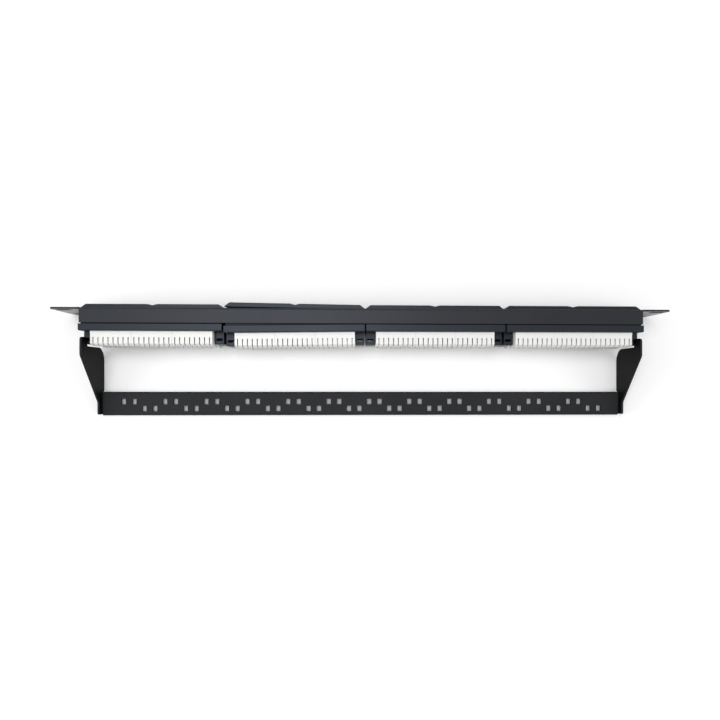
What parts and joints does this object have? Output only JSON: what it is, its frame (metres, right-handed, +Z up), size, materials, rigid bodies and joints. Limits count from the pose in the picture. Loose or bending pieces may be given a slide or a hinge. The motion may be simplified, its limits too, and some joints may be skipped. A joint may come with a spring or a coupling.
{
  "type": "rack patch panel",
  "caption": "One-unit rack patch panel: a folded steel frame with modular socket groups, white wire blocks behind them and a folded cable bar.",
  "frame": {"origin": "middle of the rack plane, where the rear faces of the ears lie", "axes": "X along the panel, -Y out of its front, +Y towards the cable bar, +Z up"},
  "size_m": [0.4826, 0.0901, 0.044],
  "materials": {
    "painted_steel": "satin",
    "black_plastic": "matt",
    "socket_plastic": "matt",
    "white_plastic": "matt",
    "board": "satin",
    "contact_metal": "bright",
    "paper": "matt",
    "clear_plastic": "clear"
  },
  "bodies": {
    "root": {"panel_frame": "painted_steel", "cable_bar": "painted_steel", "front_bezel_1": "black_plastic", "rear_housing_1": "black_plastic", "jack_gang_1": "socket_plastic", "circuit_board_1": "board", "wire_contacts_1": "contact_metal", "label_strips_1": "paper", "label_covers_1": "clear_plastic", "wire_block_1_upper_1": "white_plastic", "wire_block_1_upper_2": "white_plastic", "wire_block_1_upper_3": "white_plastic", "wire_block_1_lower_1": "white_plastic", "wire_block_1_lower_2": "white_plastic", "wire_block_1_lower_3": "white_plastic", "front_bezel_2": "black_plastic", "rear_housing_2": "black_plastic", "jack_gang_2": "socket_plastic", "circuit_board_2": "board", "wire_contacts_2": "contact_metal", "label_strips_2": "paper", "label_covers_2": "clear_plastic", "wire_block_2_upper_1": "white_plastic", "wire_block_2_upper_2": "white_plastic", "wire_block_2_upper_3": "white_plastic", "wire_block_2_lower_1": "white_plastic", "wire_block_2_lower_2": "white_plastic", "wire_block_2_lower_3": "white_plastic", "front_bezel_3": "black_plastic", "rear_housing_3": "black_plastic", "jack_gang_3": "socket_plastic", "circuit_board_3": "board", "wire_contacts_3": "contact_metal", "label_strips_3": "paper", "label_covers_3": "clear_plastic", "wire_block_3_upper_1": "white_plastic", "wire_block_3_upper_2": "white_plastic", "wire_block_3_upper_3": "white_plastic", "wire_block_3_lower_1": "white_plastic", "wire_block_3_lower_2": "white_plastic", "wire_block_3_lower_3": "white_plastic", "front_bezel_4": "black_plastic", "rear_housing_4": "black_plastic", "jack_gang_4": "socket_plastic", "circuit_board_4": "board", "wire_contacts_4": "contact_metal", "label_strips_4": "paper", "label_covers_4": "clear_plastic", "wire_block_4_upper_1": "white_plastic", "wire_block_4_upper_2": "white_plastic", "wire_block_4_upper_3": "white_plastic", "wire_block_4_lower_1": "white_plastic", "wire_block_4_lower_2": "white_plastic", "wire_block_4_lower_3": "white_plastic"}
  },
  "joints": []
}
